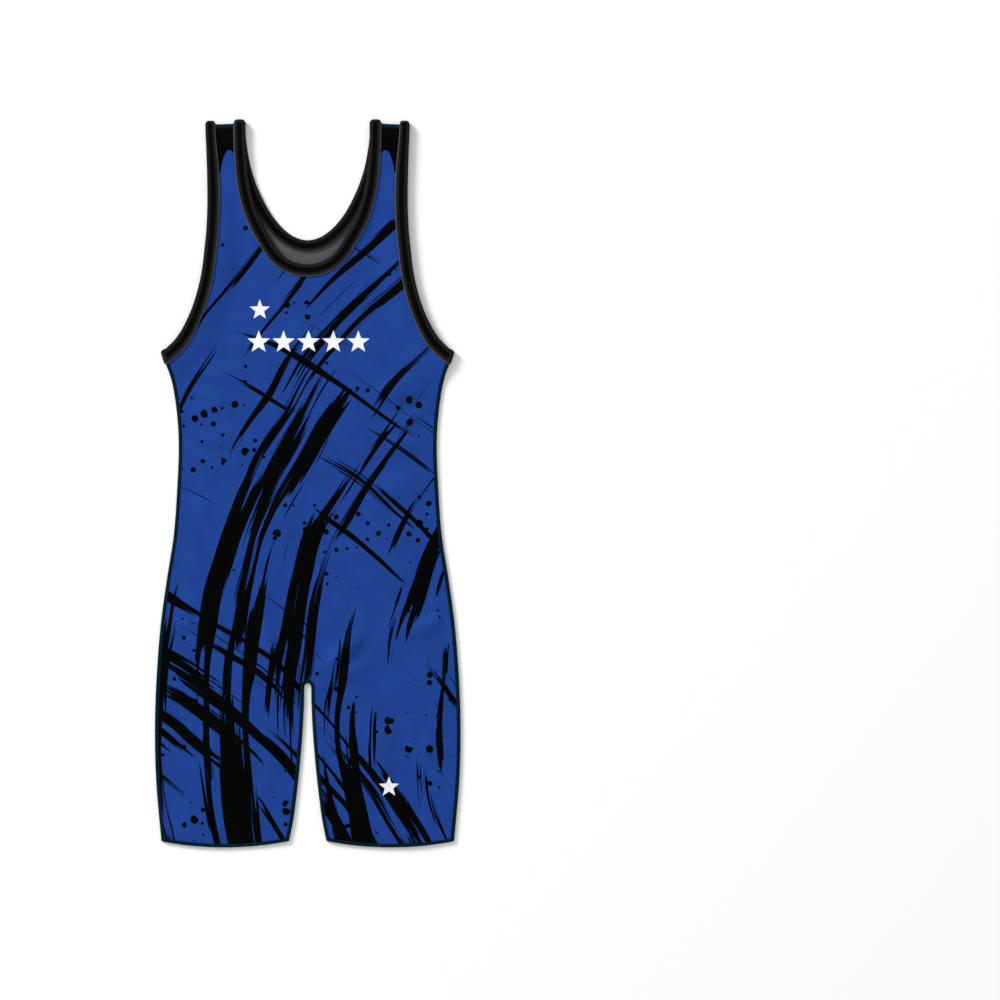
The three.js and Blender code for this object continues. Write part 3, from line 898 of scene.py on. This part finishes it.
def printed_knit(name, marks):
    material, shader = new_material(name)
    place = object_place(shader)
    shade = knit_relief(shader, place, 0.35)
    x, y, _ = split(place)
    flat_place = joined(x, y)
    ink = use_group(splash_group, flat_place, splash_values)[0]
    for stroke in brush_strokes:
        ink = ink.math("MAXIMUM", use_group(stroke_group, flat_place, stroke)[0])
    ink = ink * ramp(y, strokes_end_y, strokes_gone_y, 1.0, 0.0)
    ink = ink.math("MAXIMUM", strap_top(x, y))
    colour = blended(ink, royal_blue, print_black)
    for mark in marks:
        white = use_group(star_group, flat_place, {
            "Middle": (mark.x, mark.y, 0.0), "Pitch X": mark.pitch_x, "Pitch Y": mark.pitch_y,
            "Count": float(mark.count), "Tip": mark.tip,
        })[0]
        colour = blended(white, colour, print_white)
    colour = tinted(colour, varied(shade, 0.93, 1.07))
    give_finish(shader, colour, roughness=varied(shade, 0.5, 0.62), shine=0.015)
    return material


front_print = printed_knit("printed_knit_front", front_marks)
back_print = printed_knit("printed_knit_back", back_marks)
print("white marks:", len(front_marks), "groups in front,", len(back_marks), "behind")

# %% The bare inner face: grey darkened as painted shade, with tiny holes of painted shade in staggered rows
# The inner grey is darkened as painted shade inside the garment, and the holes are darker dots of
# painted shade.
inner_grey_with_painted_shade = (0.095, 0.102, 0.108, 1.0)
hole_painted_shade = (0.040, 0.043, 0.047, 1.0)
hole_pitch = 0.0025
hole_middle, hole_edge = 0.18, 0.30
bare_knit, bare_shader = new_material("bare_knit_inside")
bare_place = object_place(bare_shader)
bare_shade = knit_relief(bare_shader, bare_place, 0.3)
bare_x, bare_y, _ = split(bare_place)


def hole_grid(shift):
    """How near each place is to the nearest hole of one of two staggered grids."""
    tall = math.sqrt(3)
    u = (bare_x * (1 / hole_pitch) + shift).math("FRACT") - 0.5
    v = (bare_y * (1 / (hole_pitch * tall)) + shift).math("FRACT") - 0.5
    return hypotenuse(u, v * tall)


hole_near = hole_grid(100.0).math("MINIMUM", hole_grid(100.5))
bare_colour_with_painted_shade = blended(ramp(hole_near, hole_middle, hole_edge, 1.0, 0.0), inner_grey_with_painted_shade, hole_painted_shade)
bare_colour_with_painted_shade = tinted(bare_colour_with_painted_shade, varied(bare_shade, 0.92, 1.08))
give_finish(bare_shader, bare_colour_with_painted_shade, roughness=0.75, shine=0.03)
print("inner holes every", hole_pitch * 1000, "mm")

# %% Make both panels
front_cloth, front_area = panel(
    "front_cloth", front_outline, front_height, 1, [front_print, bare_knit]
)
back_cloth, back_area = panel(
    "back_cloth", back_outline, back_height, -1, [back_print, bare_knit]
)

# %% [markdown]
# ## The folded binding
#
# A strip of elastic is folded over the raw edges of the cloth and sewn through. Its section is a
# U with a round fold and soft edges. A curve with a bevel would twist where the strip turns over
# at the shoulder, so the section is placed at each point of the edge instead, and the sections
# are joined into one closed ring. The strip's own map keeps the distance across it and along it,
# so its weave and its grey bands of painted highlight follow it round every bend.

# %% Section of the folded strip
outer_face = leg_offset + solid_wall / 2
inner_face = leg_offset - solid_wall / 2
stitch_into, groove_height = 13.2, 1.62


def binding_section():
    """Rows of into, up: from the upper leg's free edge round the fold to the lower leg."""
    def arc(radius, count):
        turns = np.linspace(np.pi / 2, np.pi, count)[:-1]
        return [(outer_face + radius * math.cos(turn), radius * math.sin(turn)) for turn in turns]

    upper = [
        (14.4, 1.15), (14.38, 1.4), (14.25, 1.6), (14.0, 1.7), (13.6, 1.7), (13.2, 1.62),
        (12.8, 1.72), (12.2, 1.8), (11.0, 1.8), (9.0, 1.78), (7.2, 1.77), (5.0, 1.78), (3.2, 1.8),
    ]
    half = upper + arc(outer_face, 6)
    inner_half = [(into, inner_face) for into in (14.4, 10.0, 6.0)] + arc(inner_face, 4)
    lower = [(into, -up) for into, up in reversed(half)]
    inner = [(into, -up) for into, up in inner_half] + [(outer_face - inner_face, 0.0)]
    return np.array(half + [(0.0, 0.0)] + lower + inner + inner_half[::-1])


strip_section = binding_section()
section_into, section_up = strip_section.T
groove_up, groove_down = [
    int(np.argmin(np.hypot(section_into - stitch_into, section_up - up)))
    for up in (groove_height, -groove_height)
]
beside_fold = len(strip_section) // 2 - 8
backing_up, backing_down = len(strip_section) - 2, len(strip_section) - len(strip_section) // 3
print("the strip's section has", len(strip_section), "points")

# %% Sections along an edge and over a fold
fold_steps = 14
underarm_slant = 1.12
UP, RIGHT, LEFT = np.array([0.0, 1.0]), np.array([1.0, 0.0]), np.array([-1.0, 0.0])


def flat_sections(line, cloth_side, height, upward, ends, widths):
    """Sections along a free edge. The cloth is on the left of the line, or on the right with -1."""
    into = -right_of(line) * cloth_side
    into[0], into[-1] = ends
    into *= widths
    x = line[:, :1] + into[:, :1] * section_into
    y = line[:, 1:] + into[:, 1:] * section_into
    normal = height_normal(height, x, y)
    return np.stack([x, y, height(x, y)], -1) + normal * (section_up * upward)[:, None]


def fold_sections(axis, out, into, from_front, rounding=shoulder_rounding):
    """The strip goes over from the front to the back round a level line, or the other way."""
    made = []
    radius = fold_radius + section_up
    back = rounded_end(section_into, rounding)
    for turn in np.linspace(0.0, np.pi, fold_steps + 1)[1:-1]:
        rise = math.cos(turn) * (1 if from_front else -1)
        reach = (radius - back) * math.sin(turn)
        flat = np.outer(section_into, into) + np.outer(reach, out) + axis
        made.append(np.column_stack([flat, fold_middle + radius * rise]))
    return np.array(made)


# %% How wide a strip is along its way
width_shelf, shoulder_reach_down, underarm_reach_up = 4.0, 70.0, 60.0


def strip_widths(line, narrowing):
    """A strip draws in towards the shoulder and spreads a little towards the underarm."""
    at_shoulder = fade(strap_outer_y - line[:, 1], width_shelf, shoulder_reach_down)
    at_underarm = fade(line[:, 1] - underarm_axis[1], width_shelf, underarm_reach_up)
    widths = 1 - (1 - narrowing) * at_shoulder + (underarm_widening - 1) * at_underarm
    return widths[:, None]


# %% The sections of each strip
def joined_stretches(stretches):
    """All sections of a strip in order, and the places in that order where it turns over."""
    first = len(stretches[0]) + fold_steps / 2 - 1
    second = first + (fold_steps - 1) + len(stretches[2])
    return np.concatenate(stretches), (first, second)


def neck_sections():
    def whole(rows):
        half = smooth_line(rows, edge_step)
        return np.vstack([half, half[-2::-1] * [-1.0, 1.0]])

    front, back = whole(front_neck_rows), whole(back_neck_rows)[::-1]
    widths = [strip_widths(line, neck_narrowing) for line in (front, back)]
    corner = np.array([strap_inner_x, shoulder_axis_y])
    left, right = LEFT * neck_narrowing, RIGHT * neck_narrowing
    return joined_stretches([
        flat_sections(front, 1, front_height, 1, (RIGHT, LEFT), widths[0]),
        fold_sections(corner * [-1, 1], UP, left, True),
        flat_sections(back, -1, back_height, -1, (LEFT, RIGHT), widths[1]),
        fold_sections(corner, UP, right, False),
    ])


def armhole_sections(mirror):
    """Sections of one armhole's strip, which turns over at the underarm and at the shoulder."""
    def mirrored(height):
        return lambda x, y: height(x * mirror, y)

    line = smooth_line(armhole_rows, edge_step)
    widths = strip_widths(line, armhole_narrowing)
    aslant = underarm_down * underarm_slant
    shoulder = np.array([strap_outer_x, strap_outer_y])
    sections, turns = joined_stretches([
        flat_sections(line, -1, mirrored(front_height), 1, (LEFT, aslant), widths),
        fold_sections(underarm_axis, underarm_out, aslant * widths[-1], True, underarm_rounding),
        flat_sections(line[::-1], 1, mirrored(back_height), -1, (aslant, LEFT), widths[::-1]),
        fold_sections(shoulder, UP, LEFT * widths[0], False),
    ])
    return sections * [mirror, 1, 1], turns


# %% A closed strip from its sections
def ring_object(name, sections, turns, material):
    """Joins sections into a ring. Its map holds millimetres across and along the strip."""
    rings, size = sections.shape[:2]
    ring, corner = np.meshgrid(np.arange(rings), np.arange(size), indexing="ij")
    after, beside = (ring + 1) % rings, (corner + 1) % size
    quads = np.stack([
        ring * size + corner, ring * size + beside, after * size + beside, after * size + corner,
    ], -1).reshape(-1, 4)
    places = sections.reshape(-1, 3)
    a, b, c = places[quads[:, 0]], places[quads[:, 1]], places[quads[:, 2]]
    turned = (a * np.cross(b, c)).sum() + (a * np.cross(c, places[quads[:, 3]])).sum() < 0
    piece = mesh_object(name, places, quads[:, ::-1] if turned else quads, [material])

    fold_line = sections[:, beside_fold]
    along = distances_along(np.vstack([fold_line, fold_line[:1]]))
    u = np.stack([section_into[some] for some in (corner, beside, beside, corner)], -1)
    v = np.stack([along[some] for some in (ring, ring, ring + 1, ring + 1)], -1)
    uv = np.stack([u, v], -1).reshape(-1, 4, 2)
    uv = uv[:, ::-1] if turned else uv
    piece.data.uv_layers.new(name="strip_map").data.foreach_set("uv", uv.reshape(-1) * MM)
    at_turns = np.interp(turns, np.arange(rings + 1), along)
    away = np.abs(along[:-1, None] - at_turns).min(axis=1)
    attribute = piece.data.attributes.new("from_turn", "FLOAT", "POINT")
    attribute.data.foreach_set("value", np.repeat(away * MM, size))
    smooth_shaded(piece, 60)
    print(name, "is", round(along[-1]), "mm round, with", len(quads), "faces")
    return piece, along[-1] * MM


# %% The woven elastic's finish, black with painted highlights
# The elastic is black. The grey bands along its fold, along its free edge and across each turn are
# painted highlights.
elastic_black = (0.0008, 0.0009, 0.0010, 1.0)
elastic_highlight_grey = (0.0122, 0.0112, 0.0114, 1.0)
# The lighter grey on the free edge's rounded rim is a painted highlight.
rim_highlight_grey = (0.088, 0.089, 0.098, 1.0)
edge_band, band_blur, free_edge = 0.0041, 0.0003, 0.0004
rim_start, rim_end = (0.01365, 0.0138), (0.01426, 0.01436)
turn_band = (0.0030, 0.0036)
rib_pitch, pick_pitch = 0.0009, 0.0011
elastic, elastic_shader = new_material("binding_elastic")
strip_u, strip_v, _ = split(result(elastic.node_tree, "ShaderNodeUVMap", uv_map="strip_map"))
from_turn = result(
    elastic.node_tree, "ShaderNodeAttribute", which="Fac",
    attribute_name="from_turn", attribute_type="GEOMETRY",
)
free_start = binding_width * MM - edge_band - free_edge
# Masks of the painted highlights: along the fold, along the free edge and across each turn.
fold_highlight = ramp(strip_u, edge_band - band_blur, edge_band + band_blur, 1.0, 0.0)
free_edge_highlight = ramp(strip_u, free_start - band_blur, free_start + band_blur)
turn_highlight = ramp(from_turn, *turn_band, 1.0, 0.0)
highlight_share = fold_highlight.math("MAXIMUM", free_edge_highlight).math("MAXIMUM", turn_highlight)
# Mask of the painted highlight on the free edge's rounded rim.
rim_highlight = ramp(strip_u, *rim_start) * ramp(strip_u, *rim_end, 1.0, 0.0)
black_with_highlight_bands = blended(highlight_share, elastic_black, elastic_highlight_grey)
ribs = (strip_u * (2 * math.pi / rib_pitch)).math("SINE")
picks = (strip_v * (2 * math.pi / pick_pitch)).math("SINE")
weave = picks * 0.5 + ribs
give_relief(elastic_shader, weave, strength=0.4, depth=0.00015)
give_finish(
    elastic_shader, blended(rim_highlight, black_with_highlight_bands, rim_highlight_grey), roughness=ramp(weave, -1.5, 1.5, 0.7, 0.58),
    shine=0.025,
)
print("grey bands of", edge_band * 1000, "mm on both edges of the strip")

# %% Make the three strips
neck_rings, neck_turns = neck_sections()
left_rings, left_turns = armhole_sections(1)
right_rings, right_turns = armhole_sections(-1)
neck_band, neck_length = ring_object("neck_band", neck_rings, neck_turns, elastic)
armhole_band_left, left_length = ring_object(
    "armhole_band_left", left_rings, left_turns, elastic
)
armhole_band_right, right_length = ring_object(
    "armhole_band_right", right_rings, right_turns, elastic
)

# %% [markdown]
# ## Threads
#
# The strips are sewn down with a row of straight stitches near their free edge, through both
# legs. One stitch is modelled, a small rounded bar that sinks at both ends, and copied along
# the groove that it pulls into the strip. The seams are flat ones: close dark teal threads run
# over the join from one panel to the other, and over the raw edge of each hem. Their dark teal is
# partly the thread's own colour and partly painted shade along the garment's rolled edges.

# %% Thread finish
def thread_material(name, colour, roughness):
    material, shader = new_material(name)
    fuzz = noise(object_place(shader), scale=900.0, detail=2.0)
    give_relief(shader, fuzz, strength=0.3, depth=0.0001)
    give_finish(shader, tinted(colour, varied(fuzz, 0.75, 1.25)), roughness, shine=0.03)
    return material


# The seam thread's dark teal is partly its own colour and partly painted shade along the garment's
# rolled edges.
seam_thread = thread_material("seam_thread", (0.0010, 0.0125, 0.0225), 0.55)
stitch_thread = thread_material("stitch_thread", (0.125, 0.128, 0.145), 0.6)

# %% One stitch, modelled once
stitch_thick, stitch_wide, stitch_long = 0.18, 0.26, 1.2
bpy.ops.mesh.primitive_uv_sphere_add(segments=6, ring_count=5, radius=1.0)
stitch_model = bpy.context.active_object
stitch_model.scale = stitch_thick * MM, stitch_wide * MM, stitch_long * MM
bpy.ops.object.transform_apply(location=False, rotation=False, scale=True)
bpy.ops.object.mode_set(mode="EDIT")
bpy.ops.mesh.select_all(action="SELECT")
bpy.ops.transform.rotate(value=math.pi / 2, orient_axis="Y", center_override=(0, 0, 0))
bpy.ops.object.mode_set(mode="OBJECT")
stitch_places = np.array([tuple(vertex.co) for vertex in stitch_model.data.vertices]) / MM
# A new sphere lists its faces in an order that changes from run to run, so they are sorted.
stitch_faces = sorted(list(face.vertices) for face in stitch_model.data.polygons)
bpy.data.objects.remove(stitch_model)
stitch_span = round(np.ptp(stitch_places[:, 0]), 2)
print("one stitch has", len(stitch_faces), "faces and is", stitch_span, "mm long")

# %% Many small parts in one mesh
above_table = 0.01


def gathered(parts):
    """The places and faces of several parts as one. Nothing reaches below the table."""
    places, faces, start = [], [], 0
    for part_places, part_faces in parts:
        places.append(part_places)
        faces += [[corner + start for corner in face] for face in part_faces]
        start += len(part_places)
    places = np.vstack(places)
    places[:, 2] = np.maximum(places[:, 2], above_table)
    return places, faces


# %% Rows of stitches along a strip
stitch_pitch, stitch_lift, half_look = 2.9, 0.03, 0.6


def stitch_row(rings, groove, backing):
    """Copies of the stitch along one groove of a strip. Each faces away from its backing."""
    line, back = [np.vstack([rings[:, place], rings[:1, place]]) for place in (groove, backing)]
    along = distances_along(line)
    count = round(along[-1] / stitch_pitch)
    at = (np.arange(count) + 0.5) * along[-1] / count
    centre = sampled(line, along, at)
    ahead, behind = np.minimum(at + half_look, along[-1]), np.maximum(at - half_look, 0.0)
    run = unit(sampled(line, along, ahead) - sampled(line, along, behind))
    out = centre - sampled(back, along, at)
    out = unit(out - run * (out * run).sum(axis=1)[:, None])
    placed = (centre + out * stitch_lift)[:, None]
    for number, way in enumerate((run, np.cross(out, run), out)):
        placed = placed + way[:, None] * stitch_places[:, [number]]
    return [(places, stitch_faces) for places in placed]


def strip_stitching(name, rings):
    """Both rows of a strip, on its outer leg and on its inner one."""
    stitches = stitch_row(rings, groove_up, backing_up)
    stitches += stitch_row(rings, groove_down, backing_down)
    piece = mesh_object(name, *gathered(stitches), [stitch_thread])
    smooth_shaded(piece, 80)
    print(name, "has", len(stitches), "stitches")
    return piece


neck_stitching = strip_stitching("neck_stitching", neck_rings)
armhole_stitching_left = strip_stitching("armhole_stitching_left", left_rings)
armhole_stitching_right = strip_stitching("armhole_stitching_right", right_rings)


# %% Lines over a seam or a raw edge
seam_pitch = 1.5
thread_radius = 0.2
tape_thickness, over_cloth = 0.12, 0.01
roll_points = 9
least_reach = 0.05


def over_edge(points, out, front, back, front_reach, back_reach):
    """Lines that run over an edge from the front face to the back one, with their normals."""
    top, bottom = front(*points.T), back(*points.T)
    radius, centre = (top - bottom) / 2, (top + bottom) / 2
    up = np.tile([0.0, 0.0, 1.0], (len(points), 1))

    def on_face(height, reach, share):
        inside = np.maximum(reach - radius - cloth_thickness / 2, least_reach)[:, None] * share
        flat = points - out * inside
        return np.column_stack([flat, height(*flat.T)])

    places = [on_face(front, front_reach, share) for share in (1.0, 0.5)]
    normals = [up, up]
    for turn in np.linspace(np.pi / 2, -np.pi / 2, roll_points):
        place, normal = rolled(points, out, radius, centre, turn)
        places.append(place)
        normals.append(normal)
    places += [on_face(back, back_reach, share) for share in (0.5, 1.0)]
    return np.stack(places, 1), np.stack([*normals, -up, -up], 1)


# %% Tape and threads along those lines
def tube_faces(rings, loop):
    """Faces of a tube of several rings, with a cap at each end. The loop goes round one ring."""
    size = len(loop)
    faces = [
        [ring * size + a, ring * size + b, (ring + 1) * size + b, (ring + 1) * size + a]
        for ring in range(rings - 1) for a, b in zip(loop, loop[1:] + loop[:1])
    ]
    return [*faces, loop[::-1], [(rings - 1) * size + place for place in loop]]


def thread_tubes(places, normals):
    """Round threads, each leaning from one line to the next along the seam."""
    lean = np.linspace(0.0, 1.0, places.shape[1])[None, :, None]
    out = normals[:-1]
    centre = places[:-1] * (1 - lean) + places[1:] * lean
    centre = centre + out * (cloth_thickness / 2 + thread_radius * 0.7)
    beside = np.cross(out, unit(np.gradient(centre, axis=1)))
    rounds = np.stack([
        centre + (out * math.cos(turn) + beside * math.sin(turn)) * thread_radius
        for turn in np.linspace(0.0, 2 * np.pi, 5)[:-1]
    ], 2)
    faces = tube_faces(rounds.shape[1], [0, 1, 2, 3])
    return [(thread.reshape(-1, 3), faces) for thread in rounds]


def thread_tape(places, normals):
    """The close underlayer of the seam, a thin closed strip."""
    count, length = places.shape[:2]
    low = cloth_thickness / 2 + over_cloth
    lines = [places + normals * (low + tape_thickness), places + normals * low]
    loop = [*range(length), *range(2 * length - 1, length - 1, -1)]
    return np.concatenate(lines, axis=1).reshape(-1, 3), tube_faces(count, loop)


def seam_object(name, runs):
    """Tape and threads over each run of a seam. A run is its lines and their normals."""
    parts = []
    for run in runs:
        parts += [thread_tape(*run), *thread_tubes(*run)]
    piece = mesh_object(name, *gathered(parts), [seam_thread])
    select_only(piece)
    bpy.ops.object.mode_set(mode="EDIT")
    bpy.ops.mesh.select_all(action="SELECT")
    bpy.ops.mesh.normals_make_consistent(inside=False)
    bpy.ops.object.mode_set(mode="OBJECT")
    smooth_shaded(piece, 75)
    print(name, "has", len(piece.data.polygons), "faces")
    return piece


# %% Make the seams and the hems
seam_reaches, shoulder_reaches, hem_reaches = (4.1, 5.6), (4.8, 5.6), (3.9, 3.9)
strap_cloth = front_outline["shoulder"]
strap_cloth = strap_cloth[into_straps(strap_cloth[:, 0]) > binding_width - 1.0]


def edge_run(kind, mirror, reaches, heights=(front_height, back_height)):
    """Lines over a side, a shoulder, the inseam or a hem of one half."""
    dense = spaced(strap_cloth if kind == "shoulder" else front_outline[kind], seam_pitch)
    out = seam_outwards(kind, dense)
    return over_edge(dense * [mirror, 1], out * [mirror, 1], *heights, *reaches)


def both_halves(*how):
    return [edge_run(how[0], mirror, *how[1:]) for mirror in (1, -1)]


side_seam_left = seam_object("side_seam_left", [edge_run("side", 1, seam_reaches)])
side_seam_right = seam_object("side_seam_right", [edge_run("side", -1, seam_reaches)])
inseam_seam = seam_object("inseam_seam", both_halves("inseam", seam_reaches))
shoulder_seams = seam_object("shoulder_seams", both_halves("shoulder", shoulder_reaches))
hem_threads_front, hem_threads_back = [
    seam_object(name, both_halves("hem", hem_reaches, (height, height)))
    for name, height in (("hem_threads_front", front_height), ("hem_threads_back", back_height))
]

# %% [markdown]
# ## Joining the pieces to the frame
#
# The garment is one body, so every piece rides on it. The cloth and the strips stand for their
# solids.

# %% Ride and replace
sheets = {
    front_cloth: ("printed_knit", "front_panel"),
    back_cloth: ("printed_knit", "back_panel"),
    neck_band: ("binding_elastic", "neck_binding"),
    armhole_band_left: ("binding_elastic", "armhole_binding_left"),
    armhole_band_right: ("binding_elastic", "armhole_binding_right"),
}
threads = [
    neck_stitching, armhole_stitching_left, armhole_stitching_right, side_seam_left, side_seam_right,
    inseam_seam, shoulder_seams, hem_threads_front, hem_threads_back,
]
for piece in [*sheets, *threads]:
    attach(piece, "root")
    sheets[piece][0] if piece in sheets else "seam_thread"
for piece, (_, solid) in sheets.items():
    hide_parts(solid)

print("flat strips:", round(neck_length, 3), round(left_length, 3), "m long")

# %% [markdown]
# ## Floor, light and camera
#
# The garment lies on a plain white table and is seen from straight above, as a catalogue shows
# it. A long lens keeps its outline true. The one lamp stands low at one side, broad and soft, so
# that the creases show, and a pale sky fills the shadows.

# %% Table
bpy.ops.mesh.primitive_plane_add(size=8.0, location=(0.0, 0.0, -0.0001))
table = bpy.context.active_object
table.name = "table_top"
table_white, table_shader = new_material("table_white")
give_finish(table_shader, (0.93, 0.93, 0.93, 1.0), roughness=0.9, shine=0.05)
table.data.materials.append(table_white)

# %% Lights
scene = bpy.context.scene
scene.view_settings.view_transform = "Standard"
sky = bpy.data.worlds.new("pale_sky")
sky.use_nodes = True
background = sky.node_tree.nodes["Background"]
background.inputs["Color"].default_value = (0.985, 0.99, 1.0, 1.0)
background.inputs["Strength"].default_value = 0.70
scene.world = sky

lamp_place, lamp_target = np.array([-5.2, 4.6, 3.2]), np.array([0.1, 0.0, 0.0])
lamp = bpy.data.lights.new("main_light", "AREA")
lamp.size, lamp.energy = 2.4, 640.0
main_light = linked("main_light", lamp)
main_light.location = lamp_place
way_x, way_y, way_z = lamp_target - lamp_place
lamp_tilt, lamp_turn = math.atan2(math.hypot(way_x, way_y), -way_z), math.atan2(way_x, -way_y)
main_light.rotation_euler = lamp_tilt, 0.0, lamp_turn + math.pi
print("the lamp stands", lamp_place[2], "m above the table")

# %% Camera
picture_width = 1.150
lens, sensor = 100.0, 36.0
camera_data = bpy.data.cameras.new("catalogue_camera")
camera_data.lens = lens
camera_data.sensor_width = sensor
camera = linked("catalogue_camera", camera_data)
camera.location = (0.22103, -0.01934, picture_width * lens / sensor)
scene.camera = camera
print("the camera is", round(camera.location.z, 3), "m above the table")
